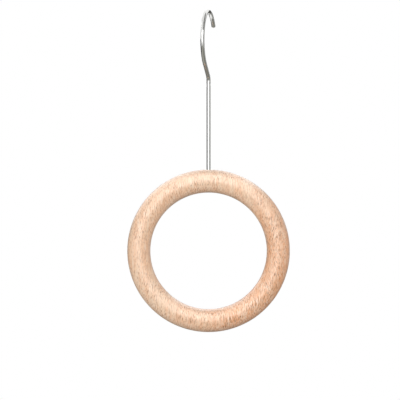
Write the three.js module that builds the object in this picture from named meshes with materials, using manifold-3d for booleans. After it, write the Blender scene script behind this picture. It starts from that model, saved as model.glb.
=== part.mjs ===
// A scarf hanger: a turned beech ring that swivels on a bent steel-wire hook.
// Millimetres, +Z up. The origin is the rail seat, the underside of the hook's crest. The ring lies in
// the XZ plane and faces -Y, and the hook's shank is the Z axis, on which the ring turns.
import * as THREE from "three";
import { mergeVertices } from "three/addons/utils/BufferGeometryUtils.js";
import Module from "manifold-3d";

const wasm = await Module();
wasm.setup();

// The ring, turned from one board whose grain stands upright
const RING_OUTER_DIAMETER = 120;
const RING_SECTION_DIAMETER = 17;
const BORE_CHAMFER = 0.5; // edge break where the wire goes into the wood

// The hook, measured on the wire's centre line
const WIRE_DIAMETER = 3;
const SHANK_RISE = 67.8; // top of the ring to the corner where the wire leans out
const LEAN_ANGLE = 55; // degrees from upright
const LEAN_BEND_RADIUS = 5; // between the shank and the lean
const HOOK_BEND_RADIUS = 22; // the round bend that goes over the rail
const TIP_PAST_CREST = 55; // degrees that this bend runs on past its crest
const TIP_DOME_HEIGHT = 1.1; // the cut end is ground round
const HOOK_TURN = 78; // degrees that the hook stands turned from the ring's plane

// The swivel inside the ring: threaded end, washer and nut in a counterbore that a wooden plug closes
const THREAD_DIAMETER = 2.9; // M3, cut a little under its nominal size
const THREAD_CHAMFER = 0.4;
const THREAD_RUNOUT = 2; // thread that runs on above the washer's seat
const THREAD_PAST_NUT = 0.6;
const NUT_ACROSS_FLATS = 5.5;
const NUT_HEIGHT = 2.4;
const NUT_CHAMFER = 0.35;
const WASHER_OUTER_DIAMETER = 7;
const WASHER_THICKNESS = 0.5;
const WASHER_EDGE_BREAK = 0.1;
const PLUG_LENGTH = 3.5;

// Clearances
const SWIVEL_CLEARANCE = 0.1; // round the wire, in its bore
const THREAD_CLEARANCE = 0.1; // round the thread, in the nut and the washer
const COUNTERBORE_CLEARANCE = 0.25; // round the washer or the nut, whichever is wider
const SEAT_GAP = 0.1; // shoulder to washer and washer to nut
const END_PLAY = 0.6; // end of the thread to the plug
const PLUG_GLUE_LINE = 0.05; // round the plug

// Facets
const RING_SEGMENTS = 96;
const RING_SECTION_SEGMENTS = 28;
const WIRE_SIDES = 16;
const WIRE_STEPS = 96;
const DOME_STEPS = 5;
const TURNED_SIDES = 32;
const CUTTER_REACH = 3; // how far a cutter runs past the surface that it cuts

const degrees = THREE.MathUtils.degToRad;
const wireRadius = WIRE_DIAMETER / 2;
const threadRadius = THREAD_DIAMETER / 2;
const sectionRadius = RING_SECTION_DIAMETER / 2;
const nutCornerRadius = NUT_ACROSS_FLATS / 2 / Math.cos(Math.PI / 6);
const boreRadius = Math.max(wireRadius, threadRadius) + SWIVEL_CLEARANCE;
const counterboreRadius = Math.max(WASHER_OUTER_DIAMETER / 2, nutCornerRadius) + COUNTERBORE_CLEARANCE;
const nutBoreRadius = threadRadius + THREAD_CLEARANCE;

// Heights down the hook, from the rail seat at 0
const bendCentreZ = wireRadius - HOOK_BEND_RADIUS;
const leanCornerZ = bendCentreZ - HOOK_BEND_RADIUS / Math.sin(degrees(LEAN_ANGLE));
const ringTopZ = leanCornerZ - SHANK_RISE;
const ringCentreZ = ringTopZ - RING_OUTER_DIAMETER / 2;
const ringInnerTopZ = ringTopZ - RING_SECTION_DIAMETER;

// Heights up the counterbore, from the inside of the ring
const plugTopZ = ringInnerTopZ + PLUG_LENGTH;
const threadEndZ = plugTopZ + END_PLAY;
const nutBottomZ = threadEndZ + THREAD_PAST_NUT;
const washerBottomZ = nutBottomZ + NUT_HEIGHT + SEAT_GAP;
const washerSeatZ = washerBottomZ + WASHER_THICKNESS + SEAT_GAP;
const threadTopZ = washerSeatZ + THREAD_RUNOUT;

const beech = new THREE.MeshStandardMaterial({ color: 0xe6c4a2, roughness: 0.55, metalness: 0 });
const platedSteel = new THREE.MeshStandardMaterial({ color: 0xd2d3d2, roughness: 0.12, metalness: 1 });
const zincPlate = new THREE.MeshStandardMaterial({ color: 0xb9bdc0, roughness: 0.35, metalness: 1 });

// A closed geometry as a solid that can be cut and joined.
function solidOf(geometry) {
  const bare = geometry.clone();
  bare.deleteAttribute("normal");
  bare.deleteAttribute("uv");
  const merged = mergeVertices(bare, 1e-4);
  return new wasm.Manifold(
    new wasm.Mesh({
      numProp: 3,
      vertProperties: merged.attributes.position.array,
      triVerts: new Uint32Array(merged.index.array),
    }),
  );
}

// A solid as a mesh with the piece's name and material.
function pieceOf(solid, name, material) {
  const { vertProperties, triVerts } = solid.getMesh();
  const geometry = new THREE.BufferGeometry();
  geometry.setAttribute("position", new THREE.BufferAttribute(vertProperties, 3));
  geometry.setIndex(new THREE.BufferAttribute(triVerts, 1));
  geometry.computeVertexNormals();
  const mesh = new THREE.Mesh(geometry, material);
  mesh.name = name;
  return mesh;
}

// A profile of [radius, height] corners turned about the Z axis. It runs anticlockwise, upwards outside.
function turned(profile) {
  const corners = profile.map(([radius, height]) => new THREE.Vector2(radius, height));
  return new THREE.LatheGeometry(corners, TURNED_SIDES).rotateX(Math.PI / 2);
}

// An arc in the XZ plane, from one angle to another, both measured from +X towards +Z.
class UprightArc extends THREE.Curve {
  constructor(centreX, centreZ, radius, fromAngle, toAngle) {
    super();
    Object.assign(this, { centreX, centreZ, radius, fromAngle, toAngle });
  }

  getPoint(t, target = new THREE.Vector3()) {
    const angle = this.fromAngle + t * (this.toAngle - this.fromAngle);
    return target.set(
      this.centreX + this.radius * Math.cos(angle),
      0,
      this.centreZ + this.radius * Math.sin(angle),
    );
  }
}

// The wire's centre line in the XZ plane: up the shank, out along the lean towards -X, round over the
// crest and down to the tip on the +X side. The bend's centre is on the shank's line.
function hookLine() {
  const lean = degrees(LEAN_ANGLE);
  const cornerRun = LEAN_BEND_RADIUS * Math.tan(lean / 2);
  const bendStart = new THREE.Vector3(0, 0, leanCornerZ - cornerRun);
  const leanBend = new UprightArc(-LEAN_BEND_RADIUS, bendStart.z, LEAN_BEND_RADIUS, 0, lean);
  const overRail = new UprightArc(
    0,
    bendCentreZ,
    HOOK_BEND_RADIUS,
    Math.PI + lean,
    Math.PI / 2 - degrees(TIP_PAST_CREST),
  );
  const line = new THREE.CurvePath();
  line.add(new THREE.LineCurve3(new THREE.Vector3(0, 0, threadTopZ), bendStart));
  line.add(leanBend);
  line.add(new THREE.LineCurve3(leanBend.getPoint(1), overRail.getPoint(0)));
  line.add(overRail);
  return line;
}

// The ground end of the wire: half an ellipse turned about its own Y axis, with a root inside the wire.
function tipDome(line) {
  const domeRadius = wireRadius * Math.cos(Math.PI / WIRE_SIDES);
  const profile = [new THREE.Vector2(0, -domeRadius), new THREE.Vector2(domeRadius / 2, -domeRadius)];
  for (let step = 0; step <= DOME_STEPS; step += 1) {
    const angle = (step / DOME_STEPS) * (Math.PI / 2);
    profile.push(new THREE.Vector2(domeRadius * Math.cos(angle), TIP_DOME_HEIGHT * Math.sin(angle)));
  }
  profile[profile.length - 1].x = 0;
  const along = line.getTangent(1);
  const across = new THREE.Vector3(0, 1, 0);
  const seat = new THREE.Matrix4().makeBasis(along.clone().cross(across), along, across);
  seat.setPosition(line.getPoint(1));
  return new THREE.LatheGeometry(profile, WIRE_SIDES).applyMatrix4(seat);
}

function wireHook() {
  const line = hookLine();
  const section = new THREE.Shape();
  section.absarc(0, 0, wireRadius, 0, 2 * Math.PI);
  const wire = new THREE.ExtrudeGeometry(section, {
    extrudePath: line,
    steps: WIRE_STEPS,
    curveSegments: WIRE_SIDES / 2,
    bevelEnabled: false,
  });
  const threadRoot = threadTopZ + wireRadius;
  const thread = turned([
    [0, threadEndZ],
    [threadRadius - THREAD_CHAMFER, threadEndZ],
    [threadRadius, threadEndZ + THREAD_CHAMFER],
    [threadRadius, threadRoot],
    [0, threadRoot],
  ]);
  const solid = solidOf(wire).add(solidOf(thread)).add(solidOf(tipDome(line)));
  return pieceOf(solid, "wire_hook", platedSteel);
}

// The plain ring before it is drilled.
function ringBlank() {
  const pitchRadius = RING_OUTER_DIAMETER / 2 - sectionRadius;
  const torus = new THREE.TorusGeometry(pitchRadius, sectionRadius, RING_SECTION_SEGMENTS, RING_SEGMENTS);
  return solidOf(torus.rotateX(Math.PI / 2).translate(0, 0, ringCentreZ));
}

function woodenRing() {
  const chamferTop = boreRadius + BORE_CHAMFER;
  const drill = turned([
    [0, ringInnerTopZ - CUTTER_REACH],
    [counterboreRadius, ringInnerTopZ - CUTTER_REACH],
    [counterboreRadius, washerSeatZ],
    [boreRadius, washerSeatZ],
    [boreRadius, ringTopZ - BORE_CHAMFER],
    [chamferTop, ringTopZ],
    [chamferTop, ringTopZ + CUTTER_REACH],
    [0, ringTopZ + CUTTER_REACH],
  ]);
  return pieceOf(ringBlank().subtract(solidOf(drill)), "wooden_ring", beech);
}

// The plug's face is turned with the ring, so it is the ring's own surface.
function ringPlug() {
  const plugRadius = counterboreRadius - PLUG_GLUE_LINE;
  const dowel = turned([
    [0, ringInnerTopZ - CUTTER_REACH],
    [plugRadius, ringInnerTopZ - CUTTER_REACH],
    [plugRadius, plugTopZ],
    [0, plugTopZ],
  ]);
  return pieceOf(ringBlank().intersect(solidOf(dowel)), "ring_plug", beech);
}

function washer() {
  const outer = WASHER_OUTER_DIAMETER / 2;
  const washerTopZ = washerBottomZ + WASHER_THICKNESS;
  const ring = turned([
    [nutBoreRadius, washerBottomZ],
    [outer - WASHER_EDGE_BREAK, washerBottomZ],
    [outer, washerBottomZ + WASHER_EDGE_BREAK],
    [outer, washerTopZ - WASHER_EDGE_BREAK],
    [outer - WASHER_EDGE_BREAK, washerTopZ],
    [nutBoreRadius, washerTopZ],
    [nutBoreRadius, washerBottomZ],
  ]);
  return pieceOf(solidOf(ring), "washer", zincPlate);
}

// A hexagon whose corners are turned off at both ends, bored for the thread.
function hexNut() {
  const nutTopZ = nutBottomZ + NUT_HEIGHT;
  const hexagon = new THREE.CylinderGeometry(nutCornerRadius, nutCornerRadius, NUT_HEIGHT, 6)
    .rotateX(Math.PI / 2)
    .translate(0, 0, nutBottomZ + NUT_HEIGHT / 2);
  const outside = turned([
    [0, nutBottomZ],
    [nutCornerRadius - NUT_CHAMFER, nutBottomZ],
    [nutCornerRadius + NUT_CHAMFER, nutBottomZ + NUT_CHAMFER],
    [nutCornerRadius + NUT_CHAMFER, nutTopZ - NUT_CHAMFER],
    [nutCornerRadius - NUT_CHAMFER, nutTopZ],
    [0, nutTopZ],
  ]);
  const bore = turned([
    [0, nutBottomZ - CUTTER_REACH],
    [nutBoreRadius, nutBottomZ - CUTTER_REACH],
    [nutBoreRadius, nutTopZ + CUTTER_REACH],
    [0, nutTopZ + CUTTER_REACH],
  ]);
  const solid = solidOf(hexagon).intersect(solidOf(outside)).subtract(solidOf(bore));
  return pieceOf(solid, "hex_nut", zincPlate);
}

// What turns together: the hook with its nut and washer, and the ring with its plug
const hookSet = new THREE.Group();
hookSet.add(wireHook(), washer(), hexNut());
hookSet.rotation.z = degrees(HOOK_TURN);

const ringSet = new THREE.Group();
ringSet.add(woodenRing(), ringPlug());

const scarfHanger = new THREE.Group();
scarfHanger.add(hookSet, ringSet);

export default scarfHanger;
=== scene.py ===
import math

import bmesh
import bpy
import numpy as np
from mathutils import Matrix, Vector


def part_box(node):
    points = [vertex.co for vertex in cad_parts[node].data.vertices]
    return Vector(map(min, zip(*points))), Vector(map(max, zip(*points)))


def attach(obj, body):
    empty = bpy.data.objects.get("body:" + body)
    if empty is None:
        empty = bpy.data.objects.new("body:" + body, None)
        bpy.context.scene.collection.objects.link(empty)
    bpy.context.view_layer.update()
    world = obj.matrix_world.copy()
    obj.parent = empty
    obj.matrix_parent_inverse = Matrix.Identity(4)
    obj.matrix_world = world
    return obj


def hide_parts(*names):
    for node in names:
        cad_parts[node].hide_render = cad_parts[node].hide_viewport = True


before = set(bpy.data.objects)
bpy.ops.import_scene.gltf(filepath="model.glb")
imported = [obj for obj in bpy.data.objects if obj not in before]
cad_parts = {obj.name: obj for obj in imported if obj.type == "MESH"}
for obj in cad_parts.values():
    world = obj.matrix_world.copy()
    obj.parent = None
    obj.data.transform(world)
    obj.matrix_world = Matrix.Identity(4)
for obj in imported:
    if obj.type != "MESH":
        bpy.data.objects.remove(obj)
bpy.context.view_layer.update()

MM = 0.001
FULL_TURN = 2 * math.pi

# The turned ring, in the XZ plane, read from the frame
ring_low, ring_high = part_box("wooden_ring")
RING_RADIUS = (ring_high.x - ring_low.x) / 2
SECTION_RADIUS = (ring_high.y - ring_low.y) / 2
PITCH_RADIUS = RING_RADIUS - SECTION_RADIUS
RING_CENTRE_Z = ring_low.z + RING_RADIUS

# What is drilled into its top
BORE_RADIUS = 1.6 * MM
BORE_EDGE_ROUND = 0.5 * MM
COUNTERBORE_RADIUS = 3.75 * MM
JOINT_EDGE_ROUND = 0.06 * MM
SEAT_GAP = 0.1 * MM
WASHER_SEAT_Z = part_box("washer")[1].z + SEAT_GAP

# The bent wire, on its middle line, with the rail seat under its crest at the origin
WIRE_RADIUS = 1.5 * MM
HOOK_BEND_RADIUS = 22 * MM
LEAN_ANGLE = math.radians(55)
LEAN_BEND_RADIUS = 5 * MM
TIP_PAST_CREST = math.radians(55)
TIP_DOME_HEIGHT = 1.1 * MM
HOOK_TURN = math.radians(78)
BEND_CENTRE_Z = WIRE_RADIUS - HOOK_BEND_RADIUS
LEAN_CORNER_Z = BEND_CENTRE_Z - HOOK_BEND_RADIUS / math.sin(LEAN_ANGLE)

# Its threaded end, with the washer and the nut on it
THREAD_RADIUS = 1.45 * MM
THREAD_PITCH = 0.5 * MM
THREAD_DEPTH = 0.27 * MM
THREAD_CHAMFER = 0.4 * MM
THREAD_RUNOUT = 2 * MM
THREAD_CLEARANCE = 0.04 * MM
THREAD_END_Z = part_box("wire_hook")[0].z
THREAD_LENGTH = WASHER_SEAT_Z + THREAD_RUNOUT - THREAD_END_Z
WASHER_BORE_GAP = 0.1 * MM
WASHER_DRAWN_EDGE = 0.16 * MM
WASHER_BURR = 0.04 * MM
NUT_HALF_FLATS = 2.75 * MM
NUT_CONE_START = 2.6 * MM
NUT_MOUTH = 0.15 * MM

# How finely the surfaces are stepped, with half a window's width in steps of the ring's skin
RING_STEPS = 384
SECTION_STEPS = 80
WINDOW_HALF = 8
PLUG_STEPS = 64
WIRE_STEPS = 48
WASHER_STEPS = 96
NUT_STEPS = 144
QUARTER_ARC = np.linspace(0, math.pi / 2, 7)[:, None]
WELD_DISTANCE = 0.0005 * MM

# Where the wood's grains are counted from: off the ring, as noises of all sizes line up there
GRAIN_START = (571.3, 317.7, 119.9)

# How the photograph frames the object, in its pixels
PHOTO_PIXELS = 400
RING_DIAMETER_PIXELS = 162.5
RING_CENTRE_PIXEL = (208.55, 250.8)
CAMERA_DISTANCE = 1.5
SENSOR_WIDTH_MM = 36
METRES_PER_PIXEL = 2 * RING_RADIUS / RING_DIAMETER_PIXELS

# The stage, and how bright its surroundings and its floor are to the object
FLOOR_Z = ring_low.z - 0.25
FLOOR_RADIUS = 1.35
TABLE_Z = ring_low.z - 0.07
AMBIENT = 0.49
FLOOR_GLOW = 0.38


def linear(hex_colour):
    """An sRGB colour such as "E9C8A8" as linear red, green, blue and alpha."""
    srgb = np.array([int(hex_colour[i : i + 2], 16) for i in (0, 2, 4)]) / 255
    straight = np.where(srgb <= 0.04045, srgb / 12.92, ((srgb + 0.055) / 1.055) ** 2.4)
    return (*straight.tolist(), 1.0)


# Surfaces

def circle_angles(steps):
    """The angles of so many points round a circle."""
    return FULL_TURN * np.arange(steps) / steps


def grid_faces(rows, columns, wrap_rows=False):
    """The corner numbers of every face of a grid of points.

    Its columns close into a ring, and so may its rows.
    """
    row = np.arange(rows if wrap_rows else rows - 1)[:, None]
    column = np.arange(columns)[None, :]
    next_row = (row + 1) % rows
    next_column = (column + 1) % columns
    corners = (
        row * columns + column,
        row * columns + next_column,
        next_row * columns + next_column,
        next_row * columns + column,
    )
    return np.stack(np.broadcast_arrays(*corners), axis=-1)


def grid_uv(along, columns):
    """Each face corner's place on the grid: its row's distance along, and its share of the way round."""
    around = np.arange(columns + 1) / columns
    low, high = np.broadcast_arrays(along[:-1, None], along[1:, None])
    corners = [(low, around[:-1]), (low, around[1:]), (high, around[1:]), (high, around[:-1])]
    pairs = [np.stack(np.broadcast_arrays(a, b[None, :]), axis=-1) for a, b in corners]
    return np.stack(pairs, axis=2).reshape(-1, 2)


def piece(name, sheets, finish, sharp_degrees=35, uv=None):
    """One mesh from sheets, each a grid of points with its faces. Points that meet are welded."""
    points = np.concatenate([grid.reshape(-1, 3) for grid, _ in sheets])
    starts = np.cumsum([0] + [grid.size // 3 for grid, _ in sheets[:-1]])
    faces = np.concatenate([quads.reshape(-1, 4) + start for (_, quads), start in zip(sheets, starts)])
    mesh = bpy.data.meshes.new(name)
    mesh.from_pydata(points.tolist(), [], faces.tolist())
    if uv is not None:
        mesh.uv_layers.new(name="wire").data.foreach_set("uv", uv.ravel())
    welded = bmesh.new()
    welded.from_mesh(mesh)
    bmesh.ops.remove_doubles(welded, verts=welded.verts, dist=WELD_DISTANCE)
    bmesh.ops.recalc_face_normals(welded, faces=welded.faces)
    welded.to_mesh(mesh)
    welded.free()
    mesh.shade_smooth()
    mesh.set_sharp_from_angle(angle=math.radians(sharp_degrees))
    mesh.materials.append(finish)
    made = bpy.data.objects.new(name, mesh)
    bpy.context.collection.objects.link(made)
    return made


def mark_faces(made):
    """Stores on each point how squarely it cuts the upright grain, and how far it looks sideways.

    Both are shares of the way from a first lean of the normal to a full one, from 0 to 1.
    """
    normals = np.empty(3 * len(made.data.vertices), np.float32)
    made.data.vertex_normals.foreach_get("vector", normals)
    sideways, upright = np.abs(normals[0::3]), np.abs(normals[2::3])
    leans = {"end_grain": (upright, 0.5, 1.0), "side_face": (sideways, 0.6, 0.85)}
    for name, (lean, first, full) in leans.items():
        share = np.clip((lean - first) / (full - first), 0, 1)
        made.data.attributes.new(name, "FLOAT", "POINT").data.foreach_set("value", share)


def turned(radii, heights, angles):
    """A profile carried round the Z axis: each row is a circle of its own radius at its own height."""
    radii, heights, angles = np.broadcast_arrays(radii, heights, angles)
    return np.stack([radii * np.cos(angles), radii * np.sin(angles), heights], axis=-1)


def ring_height(x, y, side):
    """The ring's surface over a point near its top: its outside at side 1 and its inside at side -1.

    The ring's radius in the plane at depth y is the pitch radius plus or minus the section's half
    height there, and the height is what that radius leaves over x.
    """
    plane_radius = PITCH_RADIUS + side * np.sqrt(SECTION_RADIUS**2 - y**2)
    return RING_CENTRE_Z + np.sqrt(plane_radius**2 - x**2)


def drilled_hole(edge, radius, edge_round, side):
    """A hole from the ring's skin to the washer's seat: the skin round it, its rounded rim and its wall.

    The skin's points lie on straight lines, in plan, from the rim's circle to a window's edge, close
    together near the rim, and are set on the torus. The rim is a quarter circle turned round the hole,
    and the wall is rows of circles.
    """
    skin_rows, wall_rows, crowding = 10, 12, 1.5
    edge = edge[np.argsort(np.arctan2(edge[:, 1], edge[:, 0]))]
    angles = np.arctan2(edge[:, 1], edge[:, 0])
    circle = (radius + edge_round) * np.stack([np.cos(angles), np.sin(angles)], axis=-1)
    share = np.linspace(0, 1, skin_rows)[:, None, None] ** crowding
    plan = (1 - share) * circle + share * edge[:, :2]
    x, y = plan[..., 0], plan[..., 1]
    skin = np.stack([x, y, ring_height(x, y, side)], axis=-1)
    rim_heights = skin[0, :, 2] - side * edge_round * (1 - np.cos(QUARTER_ARC))
    rim = turned(radius + edge_round * (1 - np.sin(QUARTER_ARC)), rim_heights, angles)
    to_seat = np.linspace(0, 1, wall_rows)[:, None]
    wall = turned(radius, rim_heights[-1] + (WASHER_SEAT_Z - rim_heights[-1]) * to_seat, angles)
    return skin, rim, wall


def ring_piece(finish):
    """The ring, bored from above and counterbored from inside.

    Its skin is a torus: the angle u goes round the ring and v round its section, 0 outwards. A window is
    left out of that grid at the top, outside and inside, and a drilled hole fills each. The shoulder
    between the holes is straight lines from one wall's last circle to the other's.
    """
    outward = SECTION_STEPS // 4
    u = circle_angles(RING_STEPS)[:, None]
    v = FULL_TURN * (np.arange(SECTION_STEPS) - outward)[None, :] / SECTION_STEPS
    from_axis = PITCH_RADIUS + SECTION_RADIUS * np.cos(v)
    depth = np.broadcast_to(SECTION_RADIUS * np.sin(v), (RING_STEPS, SECTION_STEPS))
    skin = np.stack([from_axis * np.cos(u), depth, RING_CENTRE_Z + from_axis * np.sin(u)], axis=-1)
    faces = grid_faces(RING_STEPS, SECTION_STEPS, wrap_rows=True)
    kept = np.ones(faces.shape[:2], bool)

    def window_edge(column):
        """The points on a window's edge, once its faces are left out of the skin."""
        row = RING_STEPS // 4
        first_row, last_row = row - WINDOW_HALF, row + WINDOW_HALF
        first, last = column - WINDOW_HALF, column + WINDOW_HALF
        kept[first_row:last_row, first:last] = False
        window = skin[first_row : last_row + 1, first : last + 1]
        on_edge = np.ones(window.shape[:2], bool)
        on_edge[1:-1, 1:-1] = False
        return window[on_edge]

    bore = drilled_hole(window_edge(outward), BORE_RADIUS, BORE_EDGE_ROUND, 1)
    counterbore = drilled_hole(window_edge(3 * outward), COUNTERBORE_RADIUS, JOINT_EDGE_ROUND, -1)
    across = np.linspace(0, 1, 4)[:, None, None]
    shoulder = (1 - across) * bore[-1][-1] + across * counterbore[-1][-1]
    holes = [(rows, grid_faces(*rows.shape[:2])) for rows in (*bore, shoulder, *counterbore)]
    ring = piece("turned_ring", [(skin, faces[kept]), *holes], finish)
    mark_faces(ring)
    return ring


def plug_piece(finish):
    """The plug: a disc set on the ring's inside, with a rounded edge, a straight wall and a flat top.

    The disc is circles given the ring's height. The edge is a quarter circle, and the rest is circles
    that rise and then close, all turned round the shank's line.
    """
    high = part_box("ring_plug")[1]
    angles = circle_angles(PLUG_STEPS)
    disc_radii = np.linspace(0, high.x - JOINT_EDGE_ROUND, 10)[:, None]
    x, y = disc_radii * np.cos(angles), disc_radii * np.sin(angles)
    disc = np.stack([x, y, ring_height(x, y, -1)], axis=-1)
    edge_heights = disc[-1, :, 2] + JOINT_EDGE_ROUND * (1 - np.cos(QUARTER_ARC))
    edge = turned(high.x - JOINT_EDGE_ROUND * (1 - np.sin(QUARTER_ARC)), edge_heights, angles)
    rise = np.array([0, 0.5, 1, 1, 1])[:, None]
    width = np.array([1, 1, 1, 0.5, 0])[:, None]
    wall = turned(width * high.x, edge_heights[-1] + rise * (high.z - edge_heights[-1]), angles)
    sheets = [(rows, grid_faces(*rows.shape[:2])) for rows in (disc, edge, wall)]
    plug = piece("glued_plug", sheets, finish)
    mark_faces(plug)
    return plug


def thread_wave(height, angles):
    """How deep a thread is cut, from 0 at its crest to 1 at its root.

    It is a triangle wave that climbs once a turn, drawn steeper so that its crest and root come out flat.
    """
    steepness, crest_flat = 1.45, 0.2
    phase = (height / THREAD_PITCH - angles / FULL_TURN) % 1
    return np.clip(steepness * np.abs(2 * phase - 1) - crest_flat, 0, 1)


def wire_line():
    """Stations along the wire's middle line, its heading and place at them, and where its tip starts.

    The heading, counted from upright, is interpolated along the length between the ends of the shank, the
    two bends and the lean between them. The place is the running sum of the chords from station to
    station: a step times the sinc of half its turn, along the heading halfway.
    """
    thread_steps, plain_steps, dome_steps = 12, (24, 28, 6, 120), 14
    corner_run = LEAN_BEND_RADIUS * math.tan(LEAN_ANGLE / 2)
    crest_turn = LEAN_ANGLE + math.pi / 2 + TIP_PAST_CREST
    lengths = [
        LEAN_CORNER_Z - corner_run - THREAD_END_Z,
        LEAN_BEND_RADIUS * LEAN_ANGLE,
        HOOK_BEND_RADIUS / math.tan(LEAN_ANGLE) - corner_run,
        HOOK_BEND_RADIUS * crest_turn,
        TIP_DOME_HEIGHT,
    ]
    ends = np.cumsum([0] + lengths)
    tip_heading = LEAN_ANGLE - crest_turn
    headings = [0, 0, LEAN_ANGLE, LEAN_ANGLE, tip_heading, tip_heading]
    stretches = zip([THREAD_LENGTH, *ends[1:4]], ends[1:5], plain_steps)
    thread = np.arange(0, THREAD_LENGTH, THREAD_PITCH / thread_steps)
    plain = [np.linspace(start, end, steps, endpoint=False) for start, end, steps in stretches]
    dome = ends[4] + TIP_DOME_HEIGHT * np.sin(np.linspace(0, math.pi / 2, dome_steps))
    stations = np.concatenate([[0], thread, *plain, dome])
    heading = np.interp(stations, ends, headings)
    step, turn = np.diff(stations), np.diff(heading)
    halfway = heading[:-1] + turn / 2
    chord = step * np.sinc(turn / FULL_TURN)
    outward = np.concatenate([[0], np.cumsum(-chord * np.sin(halfway))])
    upward = THREAD_END_Z + np.concatenate([[0], np.cumsum(chord * np.cos(halfway))])
    return stations, heading, outward, upward, ends[4]


def hook_piece(finish):
    """The wire: a circle carried along its middle line, in the plane to which the hook is turned.

    Its radius is the thread's wave at the lower end, less a chamfer, the wire's own along the rest, and a
    half ellipse at the tip.
    """
    stations, heading, outward, upward, tip_start = wire_line()
    angles = circle_angles(WIRE_STEPS)
    along = stations[:, None]
    threaded = THREAD_RADIUS - THREAD_DEPTH * thread_wave(along + THREAD_END_Z, angles)
    threaded = np.minimum(threaded, THREAD_RADIUS - THREAD_CHAMFER + along)
    into_tip = np.clip((along - tip_start) / TIP_DOME_HEIGHT, 0, 1)
    radii = np.where(along < THREAD_LENGTH, threaded, WIRE_RADIUS * np.sqrt(1 - into_tip**2))
    radii[0] = 0
    out_axis = np.array([math.cos(HOOK_TURN), math.sin(HOOK_TURN), 0])
    up_axis = np.array([0, 0, 1])
    across_axis = np.cross(up_axis, out_axis)
    side = np.cos(heading)[:, None] * out_axis + np.sin(heading)[:, None] * up_axis
    middle = outward[:, None] * out_axis + upward[:, None] * up_axis
    round_wire = np.cos(angles)[:, None] * side[:, None, :] + np.sin(angles)[:, None] * across_axis
    grid = middle[:, None, :] + radii[..., None] * round_wire
    uv = grid_uv(stations, WIRE_STEPS)
    return piece("bent_wire", [(grid, grid_faces(*grid.shape[:2]))], finish, uv=uv)


def washer_piece(finish):
    """A stamped washer: a flat section turned round the shank, its upper edge drawn over by the punch."""
    low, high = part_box("washer")
    inner, outer, edge = THREAD_RADIUS + WASHER_BORE_GAP, high.x, WASHER_DRAWN_EDGE
    quarter = np.linspace(0, math.pi / 2, 6)
    radii = [
        [inner, outer - WASHER_BURR, outer],
        outer - edge * (1 - np.cos(quarter)),
        [inner + edge, inner],
    ]
    heights = [
        [low.z, low.z, low.z + WASHER_BURR],
        high.z - edge * (1 - np.sin(quarter)),
        [high.z, high.z - edge],
    ]
    radii, heights = np.concatenate(radii)[:, None], np.concatenate(heights)[:, None]
    grid = turned(radii, heights, circle_angles(WASHER_STEPS))
    return piece("stamped_washer", [(grid, grid_faces(*grid.shape[:2], wrap_rows=True))], finish)


def nut_piece(finish):
    """A hexagon nut, turned with the hook.

    Its outside is the smaller of the hexagon's radius and a 30 degree cone from each end. Its bore is the
    shank's own thread with a clearance, opened to a cone at each mouth.
    """
    low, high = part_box("hex_nut")
    end_share, end_rows, bore_rows = 0.2, 9, 60
    angles = circle_angles(NUT_STEPS)
    from_flat = (angles + math.pi / 6) % (math.pi / 3) - math.pi / 6
    in_end = np.linspace(0, end_share, end_rows)
    heights = low.z + (high.z - low.z) * np.concatenate([in_end, 1 - end_share + in_end])[:, None]
    from_end = np.minimum(heights - low.z, high.z - heights)
    outside = np.minimum(NUT_HALF_FLATS / np.cos(from_flat), NUT_CONE_START + from_end * math.sqrt(3))
    bore_heights = np.linspace(high.z, low.z, bore_rows)[:, None]
    from_mouth = np.minimum(bore_heights - low.z, high.z - bore_heights)
    bore = THREAD_RADIUS + THREAD_CLEARANCE - THREAD_DEPTH * thread_wave(bore_heights, angles)
    bore = np.maximum(bore, THREAD_RADIUS + NUT_MOUTH - from_mouth)
    all_heights = np.concatenate([heights, bore_heights])
    grid = turned(np.concatenate([outside, bore]), all_heights, HOOK_TURN + angles)
    faces = grid_faces(*grid.shape[:2], wrap_rows=True)
    return piece("hexagon_nut", [(grid, faces)], finish, sharp_degrees=25)


# Finishes

def add_node(tree, kind, inputs=None, output=0, **settings):
    """Adds a node with its settings and links, and gives back one of its outputs, if it has any.

    An input is named, or numbered where two share a name, and takes a node's output or a plain value.
    """
    node = tree.nodes.new(kind)
    for name, value in settings.items():
        setattr(node, name, value)
    for key, value in (inputs or {}).items():
        if isinstance(value, bpy.types.NodeSocket):
            tree.links.new(value, node.inputs[key])
        else:
            node.inputs[key].default_value = value
    return node.outputs[output] if node.outputs else None


def new_finish(name):
    """An empty node material and its tree."""
    finish = bpy.data.materials.new(name)
    finish.use_nodes = True
    finish.node_tree.nodes.clear()
    return finish, finish.node_tree


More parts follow.
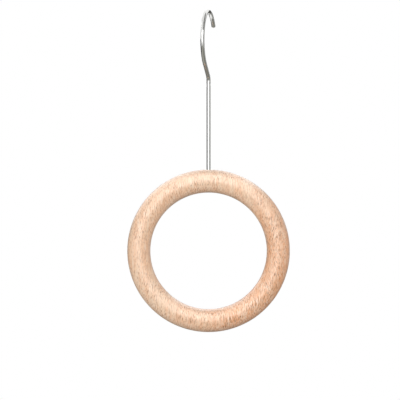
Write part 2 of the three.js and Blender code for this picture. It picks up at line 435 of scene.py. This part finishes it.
def beech(name, pale, warm, light_stroke, dark_stroke, turn=0.0):
    """Beech, turned, sanded and oiled to a satin sheen: pale pinkish wood whose grain runs up the board.

    What the eye gets: a warmer tint towards one side of the board, wavy bands and long thin streaks of
    growth, close short strokes of fibre and rays, darker and paler, darker end grain, and a soft sheen.
    """
    finish, tree = new_finish(name)
    place = add_node(tree, "ShaderNodeTexCoord", output="Object")
    board = add_node(tree, "ShaderNodeMapping", {"Vector": place, "Rotation": (0, 0, turn)})
    side_face = add_node(tree, "ShaderNodeAttribute", output="Fac", attribute_name="side_face")
    end_grain = add_node(tree, "ShaderNodeAttribute", output="Fac", attribute_name="end_grain")
    smooth = {"interpolation_type": "SMOOTHSTEP"}

    def grain(width, depth, length, detail, waviness=0.0):
        """Grains of that width, depth and length in millimetres, lighter and darker at random."""
        scale = [1 / (size * MM) for size in (width, depth, length)]
        counted = {"Vector": board, "Location": GRAIN_START, "Scale": scale}
        grains = add_node(tree, "ShaderNodeMapping", counted)
        look = {"Vector": grains, "Scale": 1.0, "Detail": detail, "Distortion": waviness}
        return add_node(tree, "ShaderNodeTexNoise", look)

    def strokes(width, depth, length, detail, waviness=0.0):
        """Grains that are thin upright strokes on the faces that look forwards and sideways alike."""
        forwards = grain(width, depth, length, detail, waviness)
        sideways = grain(depth, width, length, detail, waviness)
        return add_node(tree, "ShaderNodeMix", {0: side_face, 2: forwards, 3: sideways})

    def stained(wood, colour, pattern, first, full, strength):
        """The wood, stained more and more as a pattern goes from its first value to its full one."""
        limits = {"Value": pattern, "From Min": first, "From Max": full, "To Max": strength}
        share = add_node(tree, "ShaderNodeMapRange", limits, **smooth)
        colours = {0: share, 6: wood, 7: linear(colour)}
        return add_node(tree, "ShaderNodeMix", colours, output=2, data_type="RGBA")

    # The broad figure: wavy bands of growth that run up the board, warmer towards its lower right
    lower_right = (0.87, 0, -0.5)
    measured = {0: board, 1: lower_right}
    reach = add_node(tree, "ShaderNodeVectorMath", measured, "Value", operation="DOT_PRODUCT")
    middle = lower_right[2] * RING_CENTRE_Z
    limits = {"Value": reach, "From Min": middle - 0.2 * RING_RADIUS, "From Max": middle + RING_RADIUS}
    warm_side = add_node(tree, "ShaderNodeMapRange", limits, **smooth)
    limits = {"Value": grain(4, 7, 45, 2.0, 0.6), "From Min": 0.35, "From Max": 0.65, "To Max": 0.35}
    figure = add_node(tree, "ShaderNodeMapRange", limits, **smooth)
    side_and_figure = {0: warm_side, 1: 0.65, 2: figure}
    warmth = add_node(tree, "ShaderNodeMath", side_and_figure, operation="MULTIPLY_ADD")
    colours = {0: warmth, 6: linear(pale), 7: linear(warm)}
    wood = add_node(tree, "ShaderNodeMix", colours, output=2, data_type="RGBA")

    # Long pale and dark streaks between them, half a millimetre wide
    streaks = strokes(0.5, 2.2, 11.0, 2.0, 0.3)
    wood = stained(wood, light_stroke, streaks, 0.52, 0.66, 0.5)
    wood = stained(wood, dark_stroke, streaks, 0.48, 0.34, 0.25)

    # Fibre and rays: close short strokes in patches, drawn a third of a millimetre wide so that they show
    fibre = strokes(0.32, 1.6, 2.4, 1.0)
    limits = {"Value": grain(9, 14, 14, 1.0), "From Min": 0.35, "From Max": 0.65, "To Min": 0.55}
    patches = add_node(tree, "ShaderNodeMapRange", limits, **smooth)
    limits = {"Value": warm_side, "To Min": 0.75, "To Max": 1.1}
    more_on_warm = add_node(tree, "ShaderNodeMapRange", limits, **smooth)
    patches = add_node(tree, "ShaderNodeMath", {0: patches, 1: more_on_warm}, operation="MULTIPLY")
    limits = {"Value": fibre, "From Min": 0.46, "From Max": 0.34, "To Max": patches}
    dark_fibre = add_node(tree, "ShaderNodeMapRange", limits, **smooth)
    colours = {0: dark_fibre, 6: wood, 7: linear(dark_stroke)}
    wood = add_node(tree, "ShaderNodeMix", colours, output=2, data_type="RGBA")
    pale_patches = add_node(tree, "ShaderNodeMath", {0: patches, 1: 0.8}, operation="MULTIPLY")
    wood = stained(wood, light_stroke, fibre, 0.54, 0.68, pale_patches)

    # End grain drinks more oil, so faces that look up or down the grain are darker
    soaked = add_node(tree, "ShaderNodeMath", {0: end_grain, 1: 0.25}, operation="MULTIPLY")
    colours = {0: soaked, 6: wood, 7: linear(dark_stroke)}
    wood = add_node(tree, "ShaderNodeMix", colours, output=2, data_type="RGBA")

    sunk_fibre = {"Height": dark_fibre, "Strength": 0.2, "Distance": 0.015 * MM}
    limits = {"Value": dark_fibre, "To Min": 0.45, "To Max": 0.6}
    look = {
        "Base Color": wood,
        "Roughness": add_node(tree, "ShaderNodeMapRange", limits, **smooth),
        "Normal": add_node(tree, "ShaderNodeBump", sunk_fibre, invert=True),
        "IOR": 1.5,
        "Coat Weight": 1.0,
        "Coat Roughness": 0.32,
    }
    oiled = add_node(tree, "ShaderNodeBsdfPrincipled", look)
    add_node(tree, "ShaderNodeOutputMaterial", {"Surface": oiled})
    return finish


def drawn_plated_wire():
    """Drawn steel wire, bright nickel plated: a pale grey mirror, with faint lines from the die along it.

    Fewer lines go round the wire than on a real one, so that they show.
    """
    finish, tree = new_finish("nickel_plated_drawn_wire")
    line_length, lines_round = 120 * MM, 24
    place = add_node(tree, "ShaderNodeTexCoord", output="UV")
    counted = {"Vector": place, "Scale": (1 / line_length, lines_round, 1)}
    along_wire = add_node(tree, "ShaderNodeMapping", counted)
    lines = add_node(tree, "ShaderNodeTexNoise", {"Vector": along_wire, "Scale": 1.0, "Detail": 1.0})
    greys = {0: lines, 6: linear("CECECC"), 7: linear("DCDCDA")}
    limits = {"Value": lines, "From Min": 0.3, "From Max": 0.7, "To Min": 0.12, "To Max": 0.2}
    drawn = {"Height": lines, "Strength": 0.05, "Distance": 0.004 * MM}
    look = {
        "Base Color": add_node(tree, "ShaderNodeMix", greys, output=2, data_type="RGBA"),
        "Metallic": 1.0,
        "Roughness": add_node(tree, "ShaderNodeMapRange", limits),
        "Normal": add_node(tree, "ShaderNodeBump", drawn),
    }
    plated = add_node(tree, "ShaderNodeBsdfPrincipled", look)
    add_node(tree, "ShaderNodeOutputMaterial", {"Surface": plated})
    return finish


def zinc_plated_steel():
    """Stamped and turned steel, zinc plated: a cool grey with a dull, slightly mottled shine."""
    finish, tree = new_finish("zinc_plated_steel")
    spot_size = 0.8 * MM
    place = add_node(tree, "ShaderNodeTexCoord", output="Object")
    mottle = {"Vector": place, "Scale": 1 / spot_size, "Detail": 3.0}
    spots = add_node(tree, "ShaderNodeTexNoise", mottle)
    greys = {0: spots, 6: linear("A9AEB2"), 7: linear("C9CDD0")}
    limits = {"Value": spots, "From Min": 0.3, "From Max": 0.7, "To Min": 0.28, "To Max": 0.42}
    look = {
        "Base Color": add_node(tree, "ShaderNodeMix", greys, output=2, data_type="RGBA"),
        "Metallic": 1.0,
        "Roughness": add_node(tree, "ShaderNodeMapRange", limits),
    }
    plated = add_node(tree, "ShaderNodeBsdfPrincipled", look)
    add_node(tree, "ShaderNodeOutputMaterial", {"Surface": plated})
    return finish


# Studio

def stage_face(name, corners, finish):
    """A flat face of the stage, given by its corners in turn, counter-clockwise seen from its front."""
    mesh = bpy.data.meshes.new(name)
    mesh.from_pydata(corners, [], [range(len(corners))])
    mesh.materials.append(finish)
    made = bpy.data.objects.new(name, mesh)
    bpy.context.collection.objects.link(made)
    return made


def floor():
    """A round white floor that fades into the white surroundings at its rim. From below it is clear.

    The camera sees it with its shadow. To the object it is an even glow.
    """
    middle_glow, rim_start, rim_steps = 0.4, 0.9, 96
    finish, tree = new_finish("white_floor")
    white = linear("FFFFFF")
    place = add_node(tree, "ShaderNodeTexCoord", output="Object")
    flat = add_node(tree, "ShaderNodeVectorMath", {0: place, 1: (1, 1, 0)}, operation="MULTIPLY")
    reach = add_node(tree, "ShaderNodeVectorMath", {0: flat}, "Value", operation="LENGTH")
    limits = {"Value": reach, "From Max": rim_start * FLOOR_RADIUS, "To Min": middle_glow}
    fade = add_node(tree, "ShaderNodeMapRange", limits, interpolation_type="SMOOTHSTEP")
    matt = add_node(tree, "ShaderNodeBsdfDiffuse", {"Color": linear("F4F4F2")})
    bright = add_node(tree, "ShaderNodeEmission", {"Color": white, "Strength": 1.0})
    looked_at = add_node(tree, "ShaderNodeMixShader", {0: fade, 1: matt, 2: bright})
    glow = add_node(tree, "ShaderNodeEmission", {"Color": white, "Strength": FLOOR_GLOW})
    seen = add_node(tree, "ShaderNodeLightPath", output="Is Camera Ray")
    upper_side = add_node(tree, "ShaderNodeMixShader", {0: seen, 1: glow, 2: looked_at})
    clear = add_node(tree, "ShaderNodeBsdfTransparent")
    from_below = add_node(tree, "ShaderNodeNewGeometry", output="Backfacing")
    both_sides = add_node(tree, "ShaderNodeMixShader", {0: from_below, 1: upper_side, 2: clear})
    add_node(tree, "ShaderNodeOutputMaterial", {"Surface": both_sides})
    rim = turned(FLOOR_RADIUS, FLOOR_Z, circle_angles(rim_steps))
    stage_face("floor", rim.tolist(), finish)


def card(name, shade, low, high, strength=1.0):
    """A flat card out of view, given by two corners, that shows only in reflections."""
    finish, tree = new_finish(name)
    glow = add_node(tree, "ShaderNodeEmission", {"Color": linear(shade), "Strength": strength})
    add_node(tree, "ShaderNodeOutputMaterial", {"Surface": glow})
    first, second = [axis for axis in range(3) if low[axis] != high[axis]]
    side, other_side = list(low), list(low)
    side[first], other_side[second] = high[first], high[second]
    made = stage_face(name, [low, side, high, other_side], finish)
    made.visible_camera = False
    made.visible_diffuse = False
    made.visible_shadow = False


def lamp(name, size, watts, place, target):
    """A rectangular softbox that looks at a point. Cards stand in for it in reflections."""
    light = bpy.data.lights.new(name, "AREA")
    light.shape = "RECTANGLE"
    light.size, light.size_y = size
    light.energy = watts
    made = bpy.data.objects.new(name, light)
    made.location = place
    made.rotation_euler = (target - made.location).to_track_quat("-Z", "Y").to_euler()
    made.visible_camera = False
    made.visible_glossy = False
    bpy.context.collection.objects.link(made)


def surroundings():
    """White all round where the camera or a reflection looks, and an even soft light on the object."""
    world = bpy.data.worlds.new("white_room")
    world.use_nodes = True
    tree = world.node_tree
    tree.nodes.clear()
    camera_ray = add_node(tree, "ShaderNodeLightPath", output="Is Camera Ray")
    glossy_ray = add_node(tree, "ShaderNodeLightPath", output="Is Glossy Ray")
    seen = add_node(tree, "ShaderNodeMath", {0: camera_ray, 1: glossy_ray}, operation="MAXIMUM")
    strength = add_node(tree, "ShaderNodeMapRange", {"Value": seen, "To Min": AMBIENT, "To Max": 1.0})
    light = add_node(tree, "ShaderNodeBackground", {"Color": linear("FFFFFF"), "Strength": strength})
    add_node(tree, "ShaderNodeOutputWorld", {"Surface": light})
    bpy.context.scene.world = world


def camera():
    """Level with the photograph's middle, looking along +Y, and as wide as the photograph at the ring."""
    data = bpy.data.cameras.new("camera")
    data.sensor_width = SENSOR_WIDTH_MM
    data.lens = SENSOR_WIDTH_MM * CAMERA_DISTANCE / (PHOTO_PIXELS * METRES_PER_PIXEL)
    made = bpy.data.objects.new("camera", data)
    made.location = (
        (PHOTO_PIXELS / 2 - RING_CENTRE_PIXEL[0]) * METRES_PER_PIXEL,
        -CAMERA_DISTANCE,
        RING_CENTRE_Z + (RING_CENTRE_PIXEL[1] - PHOTO_PIXELS / 2) * METRES_PER_PIXEL,
    )
    made.rotation_euler = (math.pi / 2, 0, 0)
    bpy.context.collection.objects.link(made)
    bpy.context.scene.camera = made


def studio():
    """A softbox in front, pale walls in front, to the right and behind, and cards for the shine.

    The wide cards stand round the object. The small ones lie just above the hook and behind its shank.
    """
    target = (ring_low + ring_high) / 2
    floor()
    lamp("key_softbox", (0.9, 0.8), 8.2, target + Vector((0, -1.95, 0.5)), target)
    lamp("front_wall", (3.0, 1.2), 18.3, target + Vector((-1.15, -1.85, 0.1)), target)
    lamp("right_wall", (1.4, 1.2), 4.3, target + Vector((1.8, -0.8, 0)), target)
    lamp("back_wall", (2.4, 1.6), 16.5, target + Vector((0.5, 1.95, 0.6)), target)
    card("front_panel", "FFFFFF", (-0.6, -1.3, -0.11), (0.3, -1.3, 0.5), 3.3)
    card("ceiling_card", "FFFFFF", (-0.7, -1.3, 0.5), (0.7, 0.25, 0.5), 3.2)
    card("back_card", "4A4945", (-0.6, 1.0, -0.7), (0.6, 1.0, 0.4))
    card("back_strip", "FFFFFF", (-0.12, 0.99, -0.7), (0.12, 0.99, 0.4))
    card("back_panel", "FFFFFF", (-1.6, 1.0, 0.4), (1.0, 1.0, 1.3), 2.8)
    card("left_card", "3A3A39", (-0.55, -0.25, -0.7), (-0.55, 1.8, 0.03))
    card("right_card", "B4B4B2", (0.55, -0.53, -0.7), (0.55, 1.8, 0.45))
    card("table_left_card", "B4B3AB", (-0.6, -0.9, TABLE_Z), (0.06, 0.06, TABLE_Z))
    card("table_right_card", "8B8A80", (0.06, -0.9, TABLE_Z), (0.6, 0.06, TABLE_Z))
    card("table_back_card", "8A8983", (-0.6, 0.06, TABLE_Z), (0.6, 1.0, TABLE_Z))
    card("shelf_card", "FFFFFF", (-0.04, 0.03, -0.05), (0.04, 0.09, -0.05), 1.2)
    card("hook_left_card", "FFFFFF", (-0.05, -0.07, 0.02), (0, 0, 0.02))
    card("hook_right_card", "959593", (0, -0.07, 0.02), (0.05, 0, 0.02))
    card("hook_back_card", "FFFFFF", (-0.05, 0, 0.02), (0.05, 0.05, 0.02), 1.2)
    surroundings()


camera()
ring_finish = beech("oiled_turned_beech", "FDD8B6", "F6AF7B", "FFEBD6", "976543")
plug_finish = beech("oiled_beech_dowel", "F0CDB2", "E8BA96", "F7E0CC", "976450", turn=math.radians(40))
plated_wire = drawn_plated_wire()
zinc = zinc_plated_steel()

parts = [
    (ring_piece(ring_finish), "ring", "wooden_ring", "beech"),
    (plug_piece(plug_finish), "ring", "ring_plug", "plug_beech"),
    (hook_piece(plated_wire), "hook", "wire_hook", "plated_steel"),
    (washer_piece(zinc), "hook", "washer", "zinc_plate"),
    (nut_piece(zinc), "hook", "hex_nut", "zinc_plate"),
]
for made, body, node, slot in parts:
    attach(made, body)
    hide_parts(node)
studio()

bpy.context.scene.view_settings.view_transform = "Standard"
